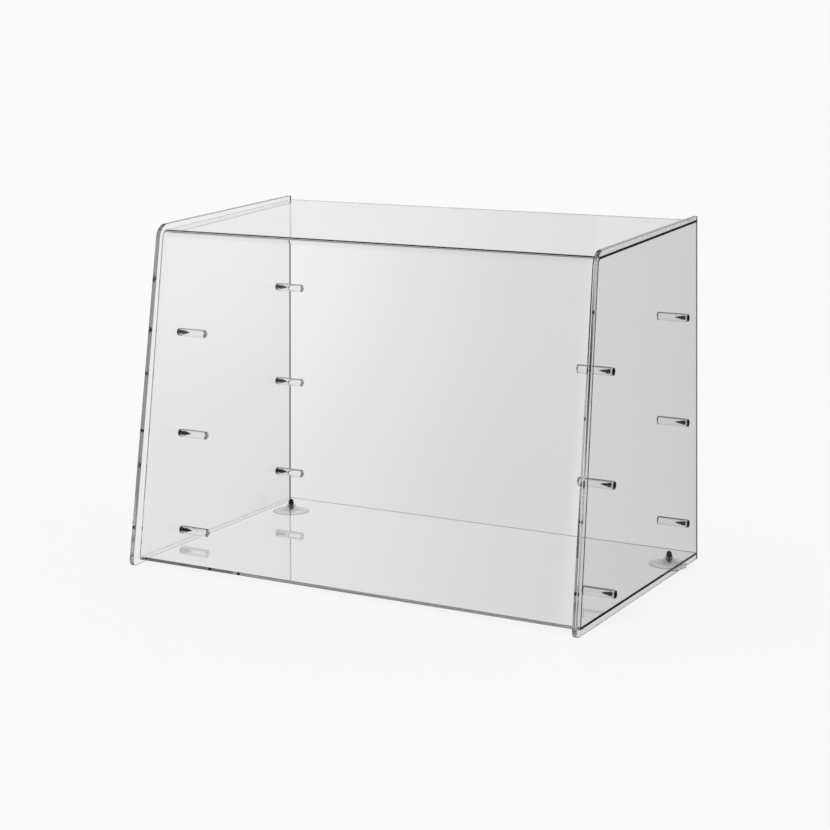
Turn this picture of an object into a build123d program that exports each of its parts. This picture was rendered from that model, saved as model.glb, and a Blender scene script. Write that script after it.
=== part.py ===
"""Clear acrylic counter-top sneeze guard: sloped front, open rear, pegs for three removable shelves.

Frame: +X to the right seen from the customer's side, +Y towards the open rear, +Z up.
The origin is the middle of the footprint, on the counter.
"""
import os
from math import atan2, cos, radians, sin, sqrt, tan

from build123d import *

# Driving dimensions, in millimetres.
# Side panels: vertical rear edge, front edge that leans back, top edge that rises to the rear.
# The front corners stand on the counter and the suction cups hold the rear corners clear of it.
guard_width = 600.0
panel_depth = 357.5  # from the unrounded front corner, at the counter, to the rear edge
rear_height = 426.5
front_height = 412.5  # of the unrounded corner between the front and top edges
front_setback = 57.0  # how far the front edge leans back by that corner
rear_foot_rise = 4.0  # of the bottom edge, from the front corner to the rear edge
side_thickness = 6.0
top_corner_radius = 18.0
foot_corner_radius = 7.0
edge_bevel = 0.2  # polished arris of every cut edge

# Canopy and base: one bent sheet and one flat sheet, cemented between the side panels.
# Insets are measured along Y from the panel's front edge, drops along Z from its top edge.
sheet_thickness = 3.0
canopy_foot_inset = 12.5
canopy_bend_inset = 5.5
canopy_bend_drop = 7.0
canopy_rear_drop = 5.0
bend_radius = 9.0  # outside of the bend
base_front_lift = 6.0  # underside of the base above the counter, at the panel's front corner
base_rear_lift = 8.6  # the same, at the rear edge
cement_line = 0.1  # thickness of every cemented or clamped joint line

# Shelf pegs: three tiers on each side, the rear peg of a tier higher than its front peg.
peg_diameter = 10.0
peg_length = 38.0
peg_bevel = 0.6
lowest_front_peg_height = 22.7
lower_tier_pitch = 123.0
upper_tier_pitch = 128.0
rear_peg_rise = 31.0
lowest_front_peg_y = 105.5  # from the unrounded front corner
front_peg_lean = 2.6  # each tier's front peg is this much nearer the front
rear_peg_y = 327.0

# Countersunk 4 x 20 socket screws with a tapered point, that hold the pegs; heads flush outside.
screw_diameter = 4.0
screw_length = 20.0
screw_head_diameter = 9.0
screw_head_land = 0.3
screw_socket_flats = 2.5
screw_socket_depth = 1.6
screw_sink = 0.1
screw_point_length = 9.0
screw_point_radius = 0.4
screw_clearance = 0.25  # radial, in the panel
thread_clearance = 0.05  # radial, in the peg, the cup and the nut
countersink_clearance = 0.1  # radial
peg_hole_spare = 2.5  # how much longer the hole's tapered end is than the screw's point
drill_overrun = 1.0  # how far a cutting shape starts outside the face it cuts

# Suction feet under the rear corners of the base.
cup_diameter = 50.0
cup_x = 272.0
cup_y = 324.0  # from the unrounded front corner
cup_neck_diameter = 12.0
cup_neck_length = 1.5  # straight part, below the base
cup_bell_diameter = 20.0  # where the thick bell meets the thin rim
cup_bell_height = 2.6
cup_rim_thickness = 0.9
cup_rim_width = 3.0
cup_hollow_height = 2.0
stud_flange_diameter = 7.0
stud_flange_thickness = 1.2
stud_flange_height = 3.6  # underside of the flange above the counter
stud_engagement = 5.0  # length of thread inside the nut
stud_tip_bevel = 0.6
cap_nut_flats = 7.0
cap_nut_hex_height = 3.2
cap_nut_height = 7.2
cap_nut_thread_depth = 5.6
cap_nut_dome_diameter = 6.4
cap_nut_corner_bevel = 0.35

# Values that follow from the driving dimensions.
front_lean = atan2(front_setback, front_height)
top_rise = atan2(rear_height - front_height, panel_depth - front_setback)
foot_rise = atan2(rear_foot_rise, panel_depth)
base_rise = atan2(base_rear_lift - base_front_lift, panel_depth)
foot_reach = foot_corner_radius / cos(front_lean + foot_rise)
foot_arc_y = foot_reach * (cos(foot_rise) + sin(front_lean))  # rounding's centre, from the unrounded corner
foot_arc_z = foot_reach * (cos(front_lean) + sin(foot_rise))
foot_z = foot_corner_radius - foot_arc_z  # unrounded corner, so that the rounded foot touches the counter
nose_setback = foot_arc_y - foot_corner_radius + foot_z * tan(front_lean)
rear_y = (panel_depth - nose_setback) / 2
front_y = rear_y - panel_depth  # where the line of the front edge meets the counter
outer_x = guard_width / 2
inner_x = outer_x - side_thickness

sides = {"left": -1, "right": 1}
tiers = ("lower", "middle", "upper")
columns = ("front", "rear")


def edge_y(z, inset=0.0):
    """Y of a line parallel to the panel's front edge, an inset behind it, at height z."""
    return front_y + inset + z * tan(front_lean)


def edge_z(y, drop=0.0):
    """Z of a line parallel to the panel's top edge, a drop below it, at depth y."""
    return rear_height - drop - (rear_y - y) * tan(top_rise)


def base_z(y, height=0.0):
    """Z of the base's underside at depth y, or of a line above it, square to the sheet."""
    return base_front_lift + (y - front_y) * tan(base_rise) + height / cos(base_rise)


def corner(front_inset, top_drop):
    """Where two lines parallel to the panel's front and top edges cross."""
    z = edge_z(front_y + front_inset, top_drop) / (1 - tan(top_rise) * tan(front_lean))
    return edge_y(z, front_inset), z


def outset(point, direction, other, thickness):
    """Where the line one thickness inside a sheet's face, ending at the point, meets its cut end.

    The face runs from the point along the direction; the cut end runs along the other direction.
    """
    crossing = direction.cross(other).length
    return point + other * (thickness / crossing)


def rounded(profile, point, radius):
    """The profile with the corner nearest to the point rounded."""
    nearest = profile.vertices().sort_by_distance((point[0], point[1], 0))[0]
    return fillet(nearest, radius)


def peg_place(tier, column):
    """Y and Z of a peg's axis."""
    level = tiers.index(tier)
    z = lowest_front_peg_height + (0.0, lower_tier_pitch, lower_tier_pitch + upper_tier_pitch)[level]
    if column == "rear":
        return front_y + rear_peg_y, z + rear_peg_rise
    return front_y + lowest_front_peg_y - level * front_peg_lean, z


def along_x(solid, side, x, y, z):
    """Turns a solid drawn along +Z so that it points inwards along X from a place on one side."""
    return Pos(side * x, y, z) * Rot(0, -90 * side, 0) * solid


def turned(radius, length):
    """Round bar drawn along +Z from the origin."""
    return Cylinder(radius, length, align=(Align.CENTER, Align.CENTER, Align.MIN))


def tapered(low_radius, high_radius, length):
    """Round taper drawn along +Z from the origin."""
    return Cone(low_radius, high_radius, length, align=(Align.CENTER, Align.CENTER, Align.MIN))


def screw_hole():
    """Clearance hole and countersink through a panel, drawn along +Z from the outer face."""
    radius = screw_diameter / 2 + screw_clearance
    mouth = screw_head_diameter / 2 + countersink_clearance
    land = screw_head_land + screw_sink
    hole = turned(radius, side_thickness + drill_overrun)
    land_cut = Pos(0, 0, -drill_overrun) * turned(mouth, drill_overrun + land)
    sink = Pos(0, 0, land) * tapered(mouth, radius, mouth - radius)
    return hole + land_cut + sink


def side_panel(side):
    top_corner = corner(0.0, 0.0)
    foot_corner = (edge_y(foot_z), foot_z)
    rear_foot_z = foot_z + (rear_y - foot_corner[0]) * tan(foot_rise)
    outline = Polyline(foot_corner, (rear_y, rear_foot_z), (rear_y, rear_height), top_corner, close=True)
    profile = make_face(outline)
    profile = rounded(profile, top_corner, top_corner_radius)
    profile = rounded(profile, foot_corner, foot_corner_radius)
    panel = extrude(Plane.YZ * profile, side_thickness)
    rims = panel.edges().group_by(Axis.X)
    panel = chamfer(rims[0] + rims[-1], edge_bevel)
    panel = Pos(inner_x if side > 0 else -outer_x, 0, 0) * panel
    for tier in tiers:
        for column in columns:
            panel -= along_x(screw_hole(), side, outer_x, *peg_place(tier, column))
    return panel


def canopy_sheet():
    """Sloped front and top in one sheet, bent once across its width."""
    foot_y = edge_y(base_front_lift + sheet_thickness, canopy_foot_inset)
    foot = Vector(foot_y, base_z(foot_y, sheet_thickness) + cement_line)
    bend = Vector(*corner(canopy_bend_inset, canopy_bend_drop))
    rear = Vector(rear_y, edge_z(rear_y, canopy_rear_drop))
    down_front = (foot - bend).normalized()
    along_top = (rear - bend).normalized()
    along_base = Vector(cos(base_rise), sin(base_rise))
    inner_foot = outset(foot, down_front, along_base, sheet_thickness)
    inner_rear = outset(rear, along_top, Vector(0, -1), sheet_thickness)
    inner_bend = bend + (down_front + along_top) * (sheet_thickness / down_front.cross(along_top).length)
    profile = make_face(Polyline(foot, bend, rear, inner_rear, inner_bend, inner_foot, close=True))
    profile = rounded(profile, (bend.X, bend.Y), bend_radius)
    profile = rounded(profile, (inner_bend.X, inner_bend.Y), bend_radius - sheet_thickness)
    return extrude(Plane.YZ * profile, inner_x - cement_line, both=True)


def base_sheet():
    """Flat floor that rises a little to the rear, flush with the canopy's outer face at the front."""
    front = edge_y(base_front_lift + sheet_thickness, canopy_foot_inset)
    profile = Polyline(
        (front, base_z(front)),
        (rear_y, base_z(rear_y)),
        (rear_y, base_z(rear_y, sheet_thickness)),
        (front, base_z(front, sheet_thickness)),
        close=True,
    )
    sheet = extrude(Plane.YZ * make_face(profile), inner_x - cement_line, both=True)
    hole = turned(screw_diameter / 2 + screw_clearance, base_rear_lift + sheet_thickness + drill_overrun)
    for side in sides.values():
        sheet -= foot_place(side) * hole
    return sheet


def peg():
    """Rod with a hole shaped to its screw, drawn along +Z from the panel's inner face."""
    reach = screw_length - screw_point_length + screw_sink - side_thickness
    radius = screw_diameter / 2 + thread_clearance
    rod = turned(peg_diameter / 2, peg_length - cement_line)
    rod = chamfer(rod.faces().sort_by(Axis.Z)[-1].edges(), peg_bevel)
    hole_point = tapered(radius, 0, screw_point_length + peg_hole_spare)
    return rod - turned(radius, reach) - Pos(0, 0, reach) * hole_point


def peg_screw():
    """Countersunk socket screw, drawn along +Z from the top of its head."""
    radius = screw_diameter / 2
    head_radius = screw_head_diameter / 2
    outline = Polyline(
        (0, 0),
        (head_radius, 0),
        (head_radius, screw_head_land),
        (radius, screw_head_land + head_radius - radius),
        (radius, screw_length - screw_point_length),
        (screw_point_radius, screw_length),
        (0, screw_length),
        close=True,
    )
    screw = revolve(Plane.XZ * make_face(outline), Axis.Z)
    socket_radius = screw_socket_flats / 2 / cos(radians(30))
    socket = extrude(RegularPolygon(socket_radius, 6), screw_socket_depth)
    return screw - socket


def peg_screws(side):
    """The six screws of one side panel, as separate solids."""
    screws = []
    for tier in tiers:
        for column in columns:
            screws.append(along_x(peg_screw(), side, outer_x - screw_sink, *peg_place(tier, column)))
    return Compound(children=screws)


def suction_cup():
    """Stubby neck and bell above a thin wide rim, hollow underneath, pressed flat on the counter."""
    top = cup_top()
    rim = cup_diameter / 2
    neck = cup_neck_diameter / 2
    seat = screw_diameter / 2 + thread_clearance
    flange = stud_flange_diameter / 2 + thread_clearance
    flange_low = stud_flange_height - thread_clearance
    flange_high = stud_flange_height + stud_flange_thickness + thread_clearance
    hollow_edge = rim - cup_rim_width
    outline = Polyline(
        (hollow_edge, 0),
        (rim, 0),
        (rim, cup_rim_thickness / 2),
        (hollow_edge, cup_rim_thickness),
        (cup_bell_diameter / 2, cup_bell_height),
        (neck, top - cup_neck_length),
        (neck, top),
        (seat, top),
        (seat, flange_high),
        (flange, flange_high),
        (flange, flange_low),
        (0, flange_low),
        (0, cup_hollow_height),
    )
    dish_radius = (hollow_edge**2 + cup_hollow_height**2) / (2 * cup_hollow_height)
    hollow = RadiusArc((0, cup_hollow_height), (hollow_edge, 0), dish_radius)
    return revolve(Plane.XZ * make_face(outline + hollow), Axis.Z)


def cup_stud():
    """Stud whose flange is moulded into the cup's neck."""
    radius = screw_diameter / 2
    flange = stud_flange_diameter / 2
    flange_high = stud_flange_height + stud_flange_thickness
    tip = nut_seat() + stud_engagement
    outline = Polyline(
        (0, stud_flange_height),
        (flange, stud_flange_height),
        (flange, flange_high),
        (radius, flange_high),
        (radius, tip - stud_tip_bevel),
        (radius - stud_tip_bevel, tip),
        (0, tip),
        close=True,
    )
    return revolve(Plane.XZ * make_face(outline), Axis.Z)


def cap_nut():
    """Hexagon nut with a domed cap, on top of the base."""
    flat_radius = cap_nut_flats / 2
    corner_radius = flat_radius / cos(radians(30))
    bevel = cap_nut_corner_bevel
    dome_radius = cap_nut_dome_diameter / 2
    dome_base = cap_nut_height - dome_radius
    envelope = Polyline(
        (0, 0),
        (flat_radius, 0),
        (corner_radius, bevel),
        (corner_radius, cap_nut_hex_height - bevel),
        (flat_radius, cap_nut_hex_height),
        (0, cap_nut_hex_height),
        close=True,
    )
    hexagon = extrude(RegularPolygon(corner_radius, 6), cap_nut_hex_height)
    hexagon &= revolve(Plane.XZ * make_face(envelope), Axis.Z)
    cap_sides = Polyline((0, cap_nut_height), (0, 0), (dome_radius, 0), (dome_radius, dome_base))
    half = dome_radius * sqrt(0.5)
    dome = ThreePointArc((dome_radius, dome_base), (half, dome_base + half), (0, cap_nut_height))
    cap = revolve(Plane.XZ * make_face(cap_sides + dome), Axis.Z)
    return hexagon + cap - turned(screw_diameter / 2 + thread_clearance, cap_nut_thread_depth)


def cup_top():
    """Z of the neck's top, one joint line below the base."""
    return base_z(front_y + cup_y) - cement_line


def nut_seat():
    """Z of the nut's underside, one joint line above the base."""
    return base_z(front_y + cup_y, sheet_thickness) + cement_line


def foot_place(side, z=0.0):
    return Pos(side * cup_x, front_y + cup_y, z)


def build():
    """Every node's name with its solid or group of solids."""
    nodes = {"canopy_sheet": canopy_sheet(), "base_sheet": base_sheet()}
    for name, side in sides.items():
        nodes[f"{name}_side_panel"] = side_panel(side)
        nodes[f"{name}_peg_screws"] = peg_screws(side)
        nodes[f"{name}_suction_cup"] = foot_place(side) * suction_cup()
        nodes[f"{name}_cup_stud"] = foot_place(side) * cup_stud()
        nodes[f"{name}_cap_nut"] = foot_place(side, nut_seat()) * cap_nut()
        for tier in tiers:
            for column in columns:
                place = peg_place(tier, column)
                nodes[f"{name}_{tier}_{column}_peg"] = along_x(peg(), side, inner_x - cement_line, *place)
    return nodes


os.makedirs("parts", exist_ok=True)
for node, shape in build().items():
    export_step(shape, f"parts/{node}.step")
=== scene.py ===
"""Clear acrylic sneeze guard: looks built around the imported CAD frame, in metres."""

from math import cos, pi, radians, sin

import bmesh
import bpy
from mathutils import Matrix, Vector


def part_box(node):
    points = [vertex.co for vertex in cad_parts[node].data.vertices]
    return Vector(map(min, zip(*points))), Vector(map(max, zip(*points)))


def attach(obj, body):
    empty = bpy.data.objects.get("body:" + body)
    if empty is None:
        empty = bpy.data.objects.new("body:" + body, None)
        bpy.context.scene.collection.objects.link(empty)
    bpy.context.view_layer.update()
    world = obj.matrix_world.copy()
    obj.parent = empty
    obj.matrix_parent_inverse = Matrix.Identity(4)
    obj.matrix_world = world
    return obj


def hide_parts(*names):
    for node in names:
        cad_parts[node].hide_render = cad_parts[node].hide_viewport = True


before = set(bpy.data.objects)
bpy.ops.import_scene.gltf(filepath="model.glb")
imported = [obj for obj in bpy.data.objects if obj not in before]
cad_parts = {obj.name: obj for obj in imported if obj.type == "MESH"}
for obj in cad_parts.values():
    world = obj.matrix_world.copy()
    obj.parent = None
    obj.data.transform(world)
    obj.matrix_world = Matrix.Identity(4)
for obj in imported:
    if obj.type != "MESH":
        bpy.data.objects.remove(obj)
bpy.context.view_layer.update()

MM = 0.001
SIDES = {"left": -1, "right": 1}
TIERS = ("lower", "middle", "upper")
COLUMNS = ("front", "rear")

# Turned and threaded hardware, in millimetres, as in the CAD part.
THREAD_RADIUS = 2.0
THREAD_PITCH = 0.7
THREAD_DEPTH = 0.38
THREAD_CREST = 0.14  # share of the pitch that is flat
THREAD_ROWS = 6  # rows of mesh per turn
SEGMENTS = 36  # mesh segments round a turned part
SCREW_LENGTH = 20.0
SCREW_SINK = 0.1
SCREW_HEAD_RADIUS = 4.5
SCREW_HEAD_LAND = 0.3
SCREW_RUNOUT = 0.8  # plain length between the head and the thread
SOCKET_FLATS = 2.5
SOCKET_DEPTH = 1.6
SOCKET_POINT = 0.35  # drilled point below the socket's floor
SOCKET_FLOOR = 0.75  # radius of the socket's floor, as a share of the radius to its flats
SCREW_POINT_LENGTH = 9.0
SCREW_POINT_RADIUS = 0.4
STUD_FLANGE_RADIUS = 3.5
STUD_FLANGE_THICKNESS = 1.2
STUD_TIP_BEVEL = 0.6
EDGE_BREAK = 0.12  # small bevel on turned edges
SHARP_ANGLE = radians(35)  # edges that turn by more than this stay sharp in shading
CUP_NECK_RADIUS = 6.0 * MM  # in metres

# Camera: level, with a shifted lens, so that upright edges stay upright.
LENS = 87.06
SENSOR = 36.0
LENS_SHIFT = -0.4742
SHIFT_RANGE = 0.02  # how near its own distance the camera must be for the shift to apply
NEAR_CLIP = 0.05
FAR_CLIP = 200.0
EYE = Vector((1.20255, -2.15236, 0.66651))
EYE_TURN = radians(29.18)

# Studio.
BACKDROP = 0.956  # linear value of the pale backdrop
FLOOR_ALBEDO = 0.9
FLOOR_RADIUS = 35.0
FLOOR_SEGMENTS = 64
FLOOR_GAP = 0.0002  # keeps the floor's face just below the resting faces
FILL_SHARE = 0.9  # part of the floor's light that has no direction
KEY_DIRECTION = Vector((-0.5, -0.55, 0.67)).normalized()
KEY_ANGLE = radians(70)
KEY_DISTANCE = 3.0  # where the lamp's marker stands; its light has no distance

# The studio as rays see it once they have met the object. A ramp runs along one axis of the ray's
# direction (X right, Y to the rear, Z up): from here, to here, value here, value there.
BOARD_BY_X = (-0.402, -0.410, 0.82, 0.725)  # seen through the object: a pale board, darker at the left
SIDE_LAMP_BY_X = (-0.42, -0.58, 0.0, 1.0)  # a lamp to the left of the board
SIDE_LAMP_BY_Z = (-0.26, -0.09, 0.17, 0.21)
COUNTER_BY_Z = (-0.85, -0.5, 0.15, 1.0)  # darker straight down, so rods show a dark line on top
REAR_LEFT_UP_BY_X = (-0.37, -0.53, 0.74, 0.88)  # reflected: the wall to the rear, on the left
REAR_LEFT_SHADE = 0.45
REAR_LEFT_SHADE_BY_X = (-0.45, -0.52)
REAR_RIGHT_UP = 0.42  # reflected: the same wall, on the right
REAR_RIGHT_DOWN_BY_X = (0.45, 0.54, 0.07, 0.42)
FRONT_BY_Z = (-0.04, 0.08, 0.11, 0.40)  # reflected: the room in front
FRONT_LAMP_BY_X = (-0.42, -0.56, 0.0, 0.45)
FRONT_LAMP_BY_Z = (-0.02, 0.1)
FRONT_SHADE_BY_Z = (0.14, 0.22, 1.0, 0.1)
CEILING_BY_Z = (0.4, 0.7, 1.0, 0.1)  # reflected: darker towards the ceiling
HORIZON_BY_Z = (-0.02, 0.02)  # where one region of the studio turns into the next
REAR_MIDDLE_BY_X = (-0.1, 0.1)
FRONT_TO_REAR_BY_Y = (-0.1, 0.3)

# Rays.
GLASS_BOUNCES = 64  # light guided along a sheet meets its faces many times
TRANSPARENT_BOUNCES = 32
DIFFUSE_BOUNCES = 3
ONCE = 0.5  # ray depths are whole numbers, so more than this is at least one

# Clear acrylic and vinyl. Absorption is per metre.
ACRYLIC_IOR = 1.491
PANEL_ABSORPTION = 1.2
SHEET_ABSORPTION = 2.6  # the thin sheets lose more light, for it meets their faces more often
VINYL_ABSORPTION = 40.0
ACRYLIC_OPENNESS = 0.98  # share of lamp light and bounced light let straight through
VINYL_OPENNESS = 0.9

# Marks on the surfaces. Noise scales are per metre, one for each axis where there are three; the
# fine heights of bumps are in metres.
WIPE_WARP_SCALE = 3.0
WIPE_WARP = 0.35  # how far a cloth's streaks swirl, in metres
WIPE_STREAKS = (60.0, 14.0, 60.0)
WIPE_STREAK_SCALE = 4.0
WIPE_STREAK_CUT = (0.5, 0.75)  # noise values where a mark starts and is full
WIPE_PATCH_SCALE = 5.0
WIPE_PATCH_CUT = (0.45, 0.65)
WIPE_ROUGHNESS = 0.01
WIPE_FILM = 0.008  # share of dull film in a full mark
WIPE_FILM_TONE = 0.9
EDGE_LINES = (60.0, 900.0, 900.0)
EDGE_LINE_CUT = (0.3, 0.7)
EDGE_ROUGHNESS = (0.07, 0.12)
EDGE_BUMP = 0.1
ROD_LINES = (40.0, 1500.0, 1500.0)
ROD_LINE_CUT = (0.3, 0.8)
ROD_ROUGHNESS = (0.0, 0.03)
ROD_BUMP = 0.3
LINE_HEIGHT = 0.00001
VINYL_RIPPLE_SCALE = 350.0
VINYL_RIPPLE_HEIGHT = 0.0001
VINYL_BUMP = 0.3
VINYL_ROUGHNESS = 0.2
VINYL_MILK_TONE = 0.62
VINYL_CLOUD_SCALE = 90.0
VINYL_CLOUD_CUT = (0.3, 0.7)
VINYL_MILK_SHARE = (0.2, 0.32)
VINYL_RIM_SHARE = 0.2  # milkiness of the thin rim, as a share of the neck's
STEEL_TURNING = (900.0, 900.0, 6000.0)
STEEL_TURNING_HEIGHT = 0.00002
STEEL_TURNING_CUT = (0.2, 0.8)
STEEL_BUMP = 0.5
STEEL_WEAR_SCALE = 800.0
STEEL_WEAR_CUT = (0.55, 0.75)
STEEL_WEAR = 3.0  # how much brighter worn steel is
STEEL_BLUE = 1.06
STEEL_ROUGHNESS_SPREAD = 0.1
SCREW_TONE = 0.03
SCREW_ROUGHNESS = 0.35
STUD_TONE = 0.02
STUD_ROUGHNESS = 0.3

# Canopy and base, whose ends are cemented to the side panels, as in the CAD part.
SHEET_THICKNESS = 3.0 * MM
CANOPY_LEAN = radians(6.877)  # of its front, from upright
CANOPY_RISE = radians(3.054)  # of its top, from level, to the rear
BASE_RISE = radians(0.417)
BEND_RADIUS = 9.0 * MM  # outside of the canopy's bend
JOINT_REACH = 0.5 * MM  # a face this near to a joint's plane belongs to it
FACING = 0.8  # a face whose normal has at least this much of an axis faces along it
JOINT_REFLECTIONS = 1.5  # rays reflected more often than this meet a joint as a plain face


class Nodes:
    """Short calls for building one node tree."""

    def __init__(self, tree):
        self.tree = tree
        tree.nodes.clear()

    def new(self, kind, inputs=None, **settings):
        node = self.tree.nodes.new(kind)
        for key, value in settings.items():
            setattr(node, key, value)
        for key, value in (inputs or {}).items():
            self.feed(value, node.inputs[key])
        return node

    def feed(self, value, socket):
        if isinstance(value, bpy.types.NodeSocket):
            self.tree.links.new(value, socket)
        else:
            socket.default_value = value

    def math(self, operation, a, b=0.0, c=0.0):
        node = self.new("ShaderNodeMath", operation=operation)
        for socket, value in zip(node.inputs, (a, b, c)):
            self.feed(value, socket)
        return node.outputs[0]

    def vmath(self, operation, a, b=(0.0, 0.0, 0.0)):
        return self.new("ShaderNodeVectorMath", {0: a, 1: b}, operation=operation).outputs[0]

    def ramp(self, value, low, high, to_low=0.0, to_high=1.0):
        """Eases from to_low where the value is low to to_high where it is high."""
        inputs = {"Value": value, "From Min": low, "From Max": high, "To Min": to_low, "To Max": to_high}
        return self.new("ShaderNodeMapRange", inputs, interpolation_type="SMOOTHSTEP").outputs[0]

    def choose(self, factor, a, b):
        """a where the factor is 0 and b where it is 1."""
        return self.math("MULTIPLY_ADD", factor, self.math("SUBTRACT", b, a), a)

    def split(self, vector):
        return self.new("ShaderNodeSeparateXYZ", {0: vector}).outputs

    def mix(self, factor, a, b):
        return self.new("ShaderNodeMixShader", {0: factor, 1: a, 2: b}).outputs[0]

    def noise(self, vector, scale, detail=3.0, roughness=0.5):
        inputs = {"Vector": vector, "Scale": scale, "Detail": detail, "Roughness": roughness}
        return self.new("ShaderNodeTexNoise", inputs).outputs["Fac"]

    def lines(self, place, scales):
        """Noise drawn out along the axis with the smallest scale."""
        return self.noise(self.vmath("MULTIPLY", place, scales), scale=1.0, detail=2.0)

    def bump(self, height, distance, strength):
        inputs = {"Height": height, "Distance": distance, "Strength": strength}
        return self.new("ShaderNodeBump", inputs).outputs[0]

    def length(self, a, b):
        """Length of the flat vector (a, b)."""
        squares = self.math("ADD", self.math("MULTIPLY", a, a), self.math("MULTIPLY", b, b))
        return self.math("SQRT", squares)

    def output(self, surface):
        self.new("ShaderNodeOutputMaterial", {"Surface": surface})


def grey(value):
    return (value, value, value, 1.0)


def new_material(name):
    mat = bpy.data.materials.new(name)
    mat.use_nodes = True
    return mat, Nodes(mat.node_tree)


# ---------------------------------------------------------------- studio
def studio_group():
    """Node group: how bright the studio is in one direction, seen through and seen reflected."""
    group = bpy.data.node_groups.new("studio_surround", "ShaderNodeTree")
    group.interface.new_socket("Direction", in_out="INPUT", socket_type="NodeSocketVector")
    group.interface.new_socket("Through", in_out="OUTPUT", socket_type="NodeSocketFloat")
    group.interface.new_socket("Mirrored", in_out="OUTPUT", socket_type="NodeSocketFloat")
    n = Nodes(group)
    x, y, z = n.split(n.new("NodeGroupInput").outputs[0])
    lamp = n.math("MULTIPLY", n.ramp(x, *SIDE_LAMP_BY_X), n.ramp(z, *SIDE_LAMP_BY_Z))
    board = n.math("ADD", n.ramp(x, *BOARD_BY_X), lamp)
    through = n.math("MULTIPLY", board, n.ramp(z, *COUNTER_BY_Z))
    rear_left_down = n.choose(n.ramp(x, *REAR_LEFT_SHADE_BY_X), through, REAR_LEFT_SHADE)
    rear_left = n.choose(n.ramp(z, *HORIZON_BY_Z), rear_left_down, n.ramp(x, *REAR_LEFT_UP_BY_X))
    rear_right_down = n.ramp(x, *REAR_RIGHT_DOWN_BY_X)
    rear_right = n.choose(n.ramp(z, *HORIZON_BY_Z), rear_right_down, REAR_RIGHT_UP)
    rear = n.choose(n.ramp(x, *REAR_MIDDLE_BY_X), rear_left, rear_right)
    lobe = n.math("MULTIPLY", n.ramp(x, *FRONT_LAMP_BY_X), n.ramp(z, *FRONT_LAMP_BY_Z))
    front = n.math("ADD", n.ramp(z, *FRONT_BY_Z), lobe)
    front = n.math("MULTIPLY", front, n.ramp(z, *FRONT_SHADE_BY_Z))
    level = n.choose(n.ramp(y, *FRONT_TO_REAR_BY_Y), front, rear)
    mirrored = n.math("MULTIPLY", level, n.ramp(z, *CEILING_BY_Z))
    n.new("NodeGroupOutput", {0: through, 1: mirrored})
    return group


def studio_view(n, surround, direction):
    """Brightness for rays that have met the object, whether they have met it, and the ray's facts."""
    path = n.new("ShaderNodeLightPath").outputs
    seen = n.new("ShaderNodeGroup", {0: direction}, node_tree=surround).outputs
    reflected = n.math("GREATER_THAN", path["Glossy Depth"], ONCE)
    passed = n.math("GREATER_THAN", path["Transmission Depth"], ONCE)
    return n.choose(reflected, seen[0], seen[1]), n.math("MAXIMUM", reflected, passed), path


def make_world(surround):
    world = bpy.data.worlds.new("studio")
    world.use_nodes = True
    bpy.context.scene.world = world
    world.cycles.sampling_method = "NONE"
    n = Nodes(world.node_tree)
    direction = n.new("ShaderNodeTexCoord").outputs["Generated"]
    seen, met, path = studio_view(n, surround, direction)
    radiance = n.choose(met, BACKDROP, seen)
    fill = BACKDROP / FLOOR_ALBEDO * FILL_SHARE
    total = n.choose(path["Is Diffuse Ray"], radiance, fill)
    background = n.new("ShaderNodeBackground", {"Color": grey(1.0), "Strength": total})
    n.new("ShaderNodeOutputWorld", {"Surface": background.outputs[0]})


def make_light():
    """One very soft key light; its share of the floor's light is what the fill leaves."""
    light = bpy.data.lights.new("soft_key", "SUN")
    light.angle = KEY_ANGLE
    light.energy = pi * BACKDROP / FLOOR_ALBEDO * (1 - FILL_SHARE) / KEY_DIRECTION.z
    lamp = bpy.data.objects.new("soft_key", light)
    bpy.context.scene.collection.objects.link(lamp)
    lamp.rotation_mode = "QUATERNION"
    lamp.rotation_quaternion = KEY_DIRECTION.to_track_quat("Z", "Y")
    lamp.location = KEY_DIRECTION * KEY_DISTANCE
    lamp.visible_glossy = False
    lamp.visible_transmission = False


def make_floor(surround):
    mesh = bpy.data.meshes.new("studio_floor")
    bm = bmesh.new()
    bmesh.ops.create_circle(bm, cap_ends=True, radius=FLOOR_RADIUS, segments=FLOOR_SEGMENTS)
    bm.to_mesh(mesh)
    bm.free()
    floor = bpy.data.objects.new("studio_floor", mesh)
    bpy.context.scene.collection.objects.link(floor)
    floor.location.z = -FLOOR_GAP
    mat, n = new_material("pale_floor")
    away = n.vmath("SCALE", n.new("ShaderNodeNewGeometry").outputs["Incoming"])
    away.node.inputs["Scale"].default_value = -1.0
    seen, met, path = studio_view(n, surround, away)
    # For rays that have met the object the floor takes no light of its own: it glows with painted studio
    # light (a painted backdrop, painted lamps and painted reflections), so that it matches the world.
    painted_studio_glow = n.new("ShaderNodeEmission", {"Strength": seen}).outputs[0]
    plain = n.new("ShaderNodeBsdfDiffuse", {"Color": grey(FLOOR_ALBEDO)}).outputs[0]
    n.output(n.mix(met, plain, painted_studio_glow))
    mesh.materials.append(mat)
    return floor


def make_camera(floor):
    camera = bpy.data.cameras.new("camera")
    camera.lens = LENS
    camera.sensor_width = SENSOR
    camera.clip_start = NEAR_CLIP
    camera.clip_end = FAR_CLIP
    eye = bpy.data.objects.new("camera", camera)
    bpy.context.scene.collection.objects.link(eye)
    eye.location = EYE
    eye.rotation_euler = (pi / 2, 0.0, EYE_TURN)
    bpy.context.scene.camera = eye
    shift_at_home(camera, eye, floor)


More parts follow.
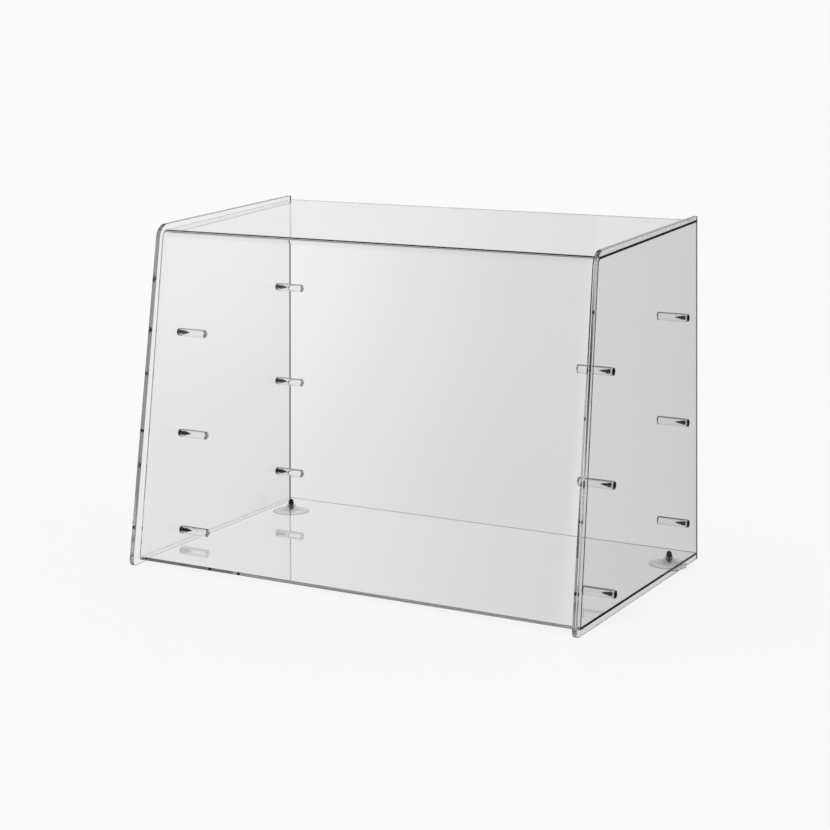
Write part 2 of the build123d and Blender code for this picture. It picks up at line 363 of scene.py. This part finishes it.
def shift_at_home(camera, eye, floor):
    """The lens is shifted only at the camera's own distance from the origin; elsewhere it is centred."""
    curve = camera.driver_add("shift_y")
    for modifier in list(curve.modifiers):
        curve.modifiers.remove(modifier)
    curve.driver.type = "AVERAGE"
    reach = curve.driver.variables.new()
    reach.type = "LOC_DIFF"
    reach.targets[0].id = eye
    reach.targets[1].id = floor
    home = (eye.location - floor.location).length
    for offset, shift in ((-SHIFT_RANGE, 0.0), (0.0, LENS_SHIFT), (SHIFT_RANGE, 0.0)):
        key = curve.keyframe_points.insert(home + offset, shift)
        key.interpolation = "LINEAR"
    curve.extrapolation = "CONSTANT"


# ---------------------------------------------------------------- materials
def absorbed(n, strength):
    """Light left after a ray's last stretch inside the clear material."""
    path = n.new("ShaderNodeLightPath").outputs
    inside = n.new("ShaderNodeNewGeometry").outputs["Backfacing"]
    length = n.math("MULTIPLY", path["Ray Length"], inside)
    left = n.math("EXPONENT", n.math("MULTIPLY", length, -strength))
    return n.new("ShaderNodeCombineColor", {0: left, 1: left, 2: left}).outputs[0]


def lets_lamps_through(n, surface, share=ACRYLIC_OPENNESS):
    """Shadow rays and bounced light pass straight through clear material."""
    path = n.new("ShaderNodeLightPath").outputs
    open_ray = n.math("MAXIMUM", path["Is Shadow Ray"], path["Is Diffuse Ray"])
    clear = n.new("ShaderNodeBsdfTransparent", {"Color": grey(share)}).outputs[0]
    return n.mix(open_ray, surface, clear)


def clear_glass(n, roughness, absorption, normal=None):
    inputs = {"Color": absorbed(n, absorption), "Roughness": roughness, "IOR": ACRYLIC_IOR}
    if normal is not None:
        inputs["Normal"] = normal
    return n.new("ShaderNodeBsdfGlass", inputs).outputs[0]


def wiped(n, place):
    """Faint arcs and patches that a cloth leaves on a clear sheet, 0 to 1."""
    inputs = {"Vector": place, "Scale": WIPE_WARP_SCALE, "Detail": 2.0}
    warp = n.new("ShaderNodeTexNoise", inputs).outputs["Color"]
    swirl = n.vmath("ADD", place, n.vmath("MULTIPLY", warp, (WIPE_WARP, WIPE_WARP, WIPE_WARP)))
    streaks = n.noise(n.vmath("MULTIPLY", swirl, WIPE_STREAKS), WIPE_STREAK_SCALE, detail=4.0, roughness=0.6)
    patches = n.noise(place, WIPE_PATCH_SCALE)
    return n.math("MULTIPLY", n.ramp(streaks, *WIPE_STREAK_CUT), n.ramp(patches, *WIPE_PATCH_CUT))


def distance_past(n, along, across, start, slope):
    """How far a point lies past a straight line, square to it; the line starts at (along, across)."""
    rise = n.math("MULTIPLY", n.math("SUBTRACT", along, start[0]), -sin(slope))
    run = n.math("MULTIPLY", n.math("SUBTRACT", across, start[1]), cos(slope))
    return n.math("ADD", rise, run)


def between(n, value, low, high):
    above = n.math("GREATER_THAN", value, low)
    return n.math("MULTIPLY", above, n.math("LESS_THAN", value, high))


def inside_bend(n, below_top, behind_front, inset, radius):
    """1 inside the canopy's outline, inset from its outer face, with the bend rounded."""
    short = n.math("MAXIMUM", n.math("SUBTRACT", radius + inset, below_top), 0.0)
    near = n.math("MAXIMUM", n.math("SUBTRACT", radius + inset, behind_front), 0.0)
    return n.math("LESS_THAN", n.length(short, near), radius)


def canopy_end(n, y, z):
    """1 where the canopy's end meets a side panel."""
    low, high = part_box("canopy_sheet")
    below_top = distance_past(n, y, z, (high.y, high.z), CANOPY_RISE)
    below_top = n.math("MULTIPLY", below_top, -1.0)
    behind_front = distance_past(n, z, y, (low.z, low.y), CANOPY_LEAN)
    outer = inside_bend(n, below_top, behind_front, 0.0, BEND_RADIUS)
    inner = inside_bend(n, below_top, behind_front, SHEET_THICKNESS, BEND_RADIUS - SHEET_THICKNESS)
    end = n.math("MULTIPLY", outer, n.math("SUBTRACT", 1.0, inner))
    end = n.math("MULTIPLY", end, n.math("GREATER_THAN", z, low.z))
    return n.math("MULTIPLY", end, n.math("LESS_THAN", y, high.y))


def base_end(n, y, z):
    """1 where the base's end meets a side panel."""
    low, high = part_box("base_sheet")
    above = distance_past(n, y, z, (low.y, low.z), BASE_RISE)
    return n.math("MULTIPLY", between(n, above, 0.0, SHEET_THICKNESS), between(n, y, low.y, high.y))


def panel_joint(n, place, normal):
    """1 on a panel's inner face where the canopy or base is cemented to it."""
    x, y, z = place
    facing = n.math("GREATER_THAN", n.math("ABSOLUTE", normal[0]), FACING)
    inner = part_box("left_side_panel")[1].x
    at_inner = n.math("LESS_THAN", n.math("ABSOLUTE", x), abs(inner) + JOINT_REACH)
    joined = n.math("MAXIMUM", canopy_end(n, y, z), base_end(n, y, z))
    return n.math("MULTIPLY", n.math("MULTIPLY", facing, at_inner), joined)


def sheet_joint(n, place, normal):
    """1 on a sheet's ends, and where the canopy's foot stands on the base."""
    x, y, z = place
    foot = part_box("canopy_sheet")[0]
    ends = n.math("GREATER_THAN", n.math("ABSOLUTE", normal[0]), FACING)
    level = n.math("GREATER_THAN", n.math("ABSOLUTE", normal[2]), FACING)
    at_foot = between(n, z, foot.z - JOINT_REACH, foot.z + JOINT_REACH)
    under = n.math("LESS_THAN", y, foot.y + SHEET_THICKNESS / cos(CANOPY_LEAN))
    return n.math("MAXIMUM", ends, n.math("MULTIPLY", level, n.math("MULTIPLY", at_foot, under)))


def wiped_face(n, place, absorption, reflections):
    """Smooth face with faint wipe marks; only what is seen without a reflection shows their film."""
    marks = wiped(n, place)
    face = clear_glass(n, n.math("MULTIPLY", marks, WIPE_ROUGHNESS), absorption)
    film = n.new("ShaderNodeBsdfDiffuse", {"Color": grey(WIPE_FILM_TONE)}).outputs[0]
    direct = n.math("LESS_THAN", reflections, ONCE)
    return n.mix(n.math("MULTIPLY", n.math("MULTIPLY", marks, direct), WIPE_FILM), face, film)


def cut_edge(n, place, absorption):
    """Cut edge with fine polishing lines."""
    lines = n.lines(place, EDGE_LINES)
    bump = n.bump(lines, LINE_HEIGHT, EDGE_BUMP)
    return clear_glass(n, n.ramp(lines, *EDGE_LINE_CUT, *EDGE_ROUGHNESS), absorption, bump)


def sheet_material(name, absorption, edge_share, joint_share):
    """Clear sheet: smooth faces with faint wipe marks, and cut edges with fine polishing lines.

    edge_share gives 1 on cut edges. joint_share gives 1 on cemented faces, which show no surface.
    """
    mat, n = new_material(name)
    place = n.new("ShaderNodeTexCoord").outputs["Object"]
    normal = n.split(n.new("ShaderNodeNewGeometry").outputs["True Normal"])
    reflections = n.new("ShaderNodeLightPath").outputs["Glossy Depth"]
    face = wiped_face(n, place, absorption, reflections)
    surface = n.mix(edge_share(n, normal), face, cut_edge(n, place, absorption))
    cement = n.new("ShaderNodeBsdfTransparent", {"Color": absorbed(n, absorption)}).outputs[0]
    early = n.math("LESS_THAN", reflections, JOINT_REFLECTIONS)
    joined = n.math("MULTIPLY", joint_share(n, n.split(place), normal), early)
    surface = n.mix(joined, surface, cement)
    n.output(lets_lamps_through(n, surface))
    return mat


def side_edges(n, normal):
    """A side panel's faces point along X; everything else on it is a cut edge."""
    return n.math("LESS_THAN", n.math("ABSOLUTE", normal[0]), FACING)


def rear_edges(n, normal):
    """The free cut edge of the canopy and of the base points to the rear."""
    return n.math("GREATER_THAN", normal[1], FACING)


def rod_material():
    """Clear rod with faint lines drawn along its length."""
    mat, n = new_material("clear_acrylic_rod")
    place = n.new("ShaderNodeTexCoord").outputs["Object"]
    drawn = n.lines(place, ROD_LINES)
    bump = n.bump(drawn, LINE_HEIGHT, ROD_BUMP)
    rod = clear_glass(n, n.ramp(drawn, *ROD_LINE_CUT, *ROD_ROUGHNESS), PANEL_ABSORPTION, bump)
    n.output(lets_lamps_through(n, rod))
    return mat


def cup_depth(n, place):
    """How thick a suction cup is across its radius, from 1 at the neck to its thin rim."""
    low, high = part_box("right_suction_cup")
    x, y, z = n.split(place)
    across = n.math("SUBTRACT", n.math("ABSOLUTE", x), (low.x + high.x) / 2)
    along = n.math("SUBTRACT", y, (low.y + high.y) / 2)
    return n.ramp(n.length(across, along), CUP_NECK_RADIUS, (high.x - low.x) / 2, 1.0, VINYL_RIM_SHARE)


def vinyl_material():
    """Soft clear vinyl: slightly milky, with fine moulding ripple."""
    mat, n = new_material("clear_vinyl")
    place = n.new("ShaderNodeTexCoord").outputs["Object"]
    bump = n.bump(n.noise(place, VINYL_RIPPLE_SCALE), VINYL_RIPPLE_HEIGHT, VINYL_BUMP)
    clear = clear_glass(n, VINYL_ROUGHNESS, VINYL_ABSORPTION, bump)
    milk = n.new("ShaderNodeBsdfTranslucent", {"Color": grey(VINYL_MILK_TONE)}).outputs[0]
    cloud = n.ramp(n.noise(place, VINYL_CLOUD_SCALE), *VINYL_CLOUD_CUT, *VINYL_MILK_SHARE)
    cloud = n.math("MULTIPLY", cloud, cup_depth(n, place))
    n.output(lets_lamps_through(n, n.mix(cloud, clear, milk), VINYL_OPENNESS))
    return mat


def steel_material(name, tone, roughness):
    """Dark steel with turning marks, worn a little brighter where the noise is high."""
    mat, n = new_material(name)
    place = n.new("ShaderNodeTexCoord").outputs["Object"]
    turned = n.lines(place, STEEL_TURNING)
    worn = n.ramp(n.noise(place, STEEL_WEAR_SCALE, detail=4.0), *STEEL_WEAR_CUT)
    shade = n.choose(worn, tone, STEEL_WEAR * tone)
    blue = n.math("MULTIPLY", shade, STEEL_BLUE)
    colour = n.new("ShaderNodeCombineColor", {0: shade, 1: shade, 2: blue}).outputs[0]
    bump = n.bump(turned, STEEL_TURNING_HEIGHT, STEEL_BUMP)
    spread = (roughness - STEEL_ROUGHNESS_SPREAD, roughness + STEEL_ROUGHNESS_SPREAD)
    rough = n.ramp(turned, *STEEL_TURNING_CUT, *spread)
    inputs = {"Base Color": colour, "Metallic": 1.0, "Roughness": rough, "Normal": bump}
    n.output(n.new("ShaderNodeBsdfPrincipled", inputs).outputs[0])
    return mat


# ---------------------------------------------------------------- threaded pieces
def hexagon(flats):
    """Radius of a hexagon, by angle."""
    sector = pi / 3
    return lambda angle: flats / 2 / cos(angle % sector - sector / 2)


def thread(z, crest, fade):
    """Radius of a right-hand thread at height z, by angle; fade is 0 where the thread runs out."""
    depth = THREAD_DEPTH * fade * crest / THREAD_RADIUS

    def radius(angle):
        turn = (z / THREAD_PITCH - angle / (2 * pi)) % 1.0
        flank = (abs(2 * turn - 1) - THREAD_CREST) / (1 - 2 * THREAD_CREST)
        return crest - depth * min(1.0, max(0.0, flank))

    return radius


def thread_rows(start, end, crest_at=lambda z: THREAD_RADIUS):
    """Rows of a threaded length, fading in over its first turn."""
    step = THREAD_PITCH / THREAD_ROWS
    count = round((end - start) / step)
    rows = []
    for i in range(count + 1):
        z = start + (end - start) * i / count
        rows.append((z, thread(z, crest_at(z), min(1.0, (z - start) / THREAD_PITCH))))
    return rows


def screw_crest(z):
    """Outside radius of the screw's thread, which narrows along its point."""
    share = min(1.0, (SCREW_LENGTH - z) / SCREW_POINT_LENGTH)
    return SCREW_POINT_RADIUS + (THREAD_RADIUS - SCREW_POINT_RADIUS) * share


def turned_mesh(name, rows, first_z, last_z):
    """Closed mesh about Z from rows of (height, radius or radius by angle), all in millimetres."""
    bm = bmesh.new()
    angles = [2 * pi * j / SEGMENTS for j in range(SEGMENTS)]
    rings = []
    for z, radius in rows:
        radii = [radius(a) if callable(radius) else radius for a in angles]
        places = [(r * cos(a) * MM, r * sin(a) * MM, z * MM) for a, r in zip(angles, radii)]
        rings.append([bm.verts.new(place) for place in places])
    first = bm.verts.new((0, 0, first_z * MM))
    last = bm.verts.new((0, 0, last_z * MM))
    for j in range(SEGMENTS):
        k = (j + 1) % SEGMENTS
        for low, high in zip(rings, rings[1:]):
            bm.faces.new((low[j], low[k], high[k], high[j]))
        bm.faces.new((first, rings[0][k], rings[0][j]))
        bm.faces.new((last, rings[-1][j], rings[-1][k]))
    bmesh.ops.recalc_face_normals(bm, faces=bm.faces)
    mesh = bpy.data.meshes.new(name)
    bm.to_mesh(mesh)
    bm.free()
    mesh.shade_smooth()
    mesh.set_sharp_from_angle(angle=SHARP_ANGLE)
    return mesh


def screw_mesh():
    """Countersunk screw along +Z from the top of its head, with a hexagon socket and a tapered point."""
    shank_z = SCREW_HEAD_LAND + SCREW_HEAD_RADIUS - THREAD_RADIUS
    socket_corner = SOCKET_FLATS / 2 / cos(pi / 6)
    rows = [
        (SOCKET_DEPTH, SOCKET_FLOOR * SOCKET_FLATS / 2),
        (SOCKET_DEPTH, hexagon(SOCKET_FLATS)),
        (EDGE_BREAK, hexagon(SOCKET_FLATS)),
        (0.0, socket_corner + EDGE_BREAK),
        (0.0, SCREW_HEAD_RADIUS - EDGE_BREAK),
        (EDGE_BREAK, SCREW_HEAD_RADIUS),
        (SCREW_HEAD_LAND, SCREW_HEAD_RADIUS),
        (shank_z, THREAD_RADIUS),
    ]
    rows += thread_rows(shank_z + SCREW_RUNOUT, SCREW_LENGTH, screw_crest)
    return turned_mesh("peg_screw", rows, SOCKET_DEPTH + SOCKET_POINT, SCREW_LENGTH)


def stud_mesh(length):
    """Threaded stud along +Z from the underside of its moulded-in flange."""
    rows = [
        (0.0, STUD_FLANGE_RADIUS - EDGE_BREAK),
        (EDGE_BREAK, STUD_FLANGE_RADIUS),
        (STUD_FLANGE_THICKNESS - EDGE_BREAK, STUD_FLANGE_RADIUS),
        (STUD_FLANGE_THICKNESS, STUD_FLANGE_RADIUS - EDGE_BREAK),
        (STUD_FLANGE_THICKNESS, THREAD_RADIUS),
    ]
    rows += thread_rows(STUD_FLANGE_THICKNESS + SCREW_RUNOUT, length - STUD_TIP_BEVEL)
    rows.append((length, THREAD_RADIUS - STUD_TIP_BEVEL - THREAD_DEPTH))
    return turned_mesh("cup_stud", rows, 0.0, length)


def add_piece(name, mesh, material, node):
    piece = bpy.data.objects.new(name, mesh)
    bpy.context.scene.collection.objects.link(piece)
    piece.data.materials.clear()
    piece.data.materials.append(material)
    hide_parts(node)
    return piece


def add_screws(material):
    """Twelve screws, each on the axis of its peg, their heads just below the panels' outer faces."""
    mesh = screw_mesh()
    for name, side in SIDES.items():
        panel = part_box(f"{name}_side_panel")
        outer = panel[1].x if side > 0 else panel[0].x
        for tier in TIERS:
            for column in COLUMNS:
                low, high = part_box(f"{name}_{tier}_{column}_peg")
                title = f"{name}_{tier}_{column}_screw"
                screw = add_piece(title, mesh, material, f"{name}_peg_screws")
                middle = (low + high) / 2
                screw.location = (outer - side * SCREW_SINK * MM, middle.y, middle.z)
                screw.rotation_euler = (0.0, -side * pi / 2, 0.0)
                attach(screw, "root")


def add_studs(material):
    """Two studs, each moulded into its cup and reaching up into its nut."""
    for name in SIDES:
        low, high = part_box(f"{name}_cup_stud")
        mesh = stud_mesh((high.z - low.z) / MM)
        stud = add_piece(f"{name}_threaded_stud", mesh, material, f"{name}_cup_stud")
        middle = (low + high) / 2
        stud.location = (middle.x, middle.y, low.z)
        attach(stud, "root")


# ---------------------------------------------------------------- the whole
def dress_frame(materials):
    """Gives every CAD node its material, by the words in its name."""
    for name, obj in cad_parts.items():
        kind = next(word for word in materials if word in name)
        for slot in obj.material_slots:
            slot.material = materials[kind]


def set_view():
    """Plain tones, and enough bounces for the light guided along the sheets."""
    scene = bpy.context.scene
    scene.view_settings.view_transform = "Standard"
    scene.cycles.max_bounces = GLASS_BOUNCES
    scene.cycles.transmission_bounces = GLASS_BOUNCES
    scene.cycles.glossy_bounces = GLASS_BOUNCES
    scene.cycles.transparent_max_bounces = TRANSPARENT_BOUNCES
    scene.cycles.diffuse_bounces = DIFFUSE_BOUNCES
    scene.cycles.caustics_reflective = False
    scene.cycles.caustics_refractive = False


def build():
    surround = studio_group()
    make_world(surround)
    make_light()
    make_camera(make_floor(surround))
    set_view()
    screw_steel = steel_material("dark_screw_steel", SCREW_TONE, SCREW_ROUGHNESS)
    stud_steel = steel_material("dark_stud_steel", STUD_TONE, STUD_ROUGHNESS)
    materials = {
        "side_panel": sheet_material("clear_acrylic_panel", PANEL_ABSORPTION, side_edges, panel_joint),
        "_sheet": sheet_material("clear_acrylic_sheet", SHEET_ABSORPTION, rear_edges, sheet_joint),
        "_peg_screws": screw_steel,
        "_cup_stud": stud_steel,
        "_cap_nut": stud_steel,
        "_suction_cup": vinyl_material(),
        "_peg": rod_material(),
    }
    dress_frame(materials)
    add_screws(screw_steel)
    add_studs(stud_steel)


build()
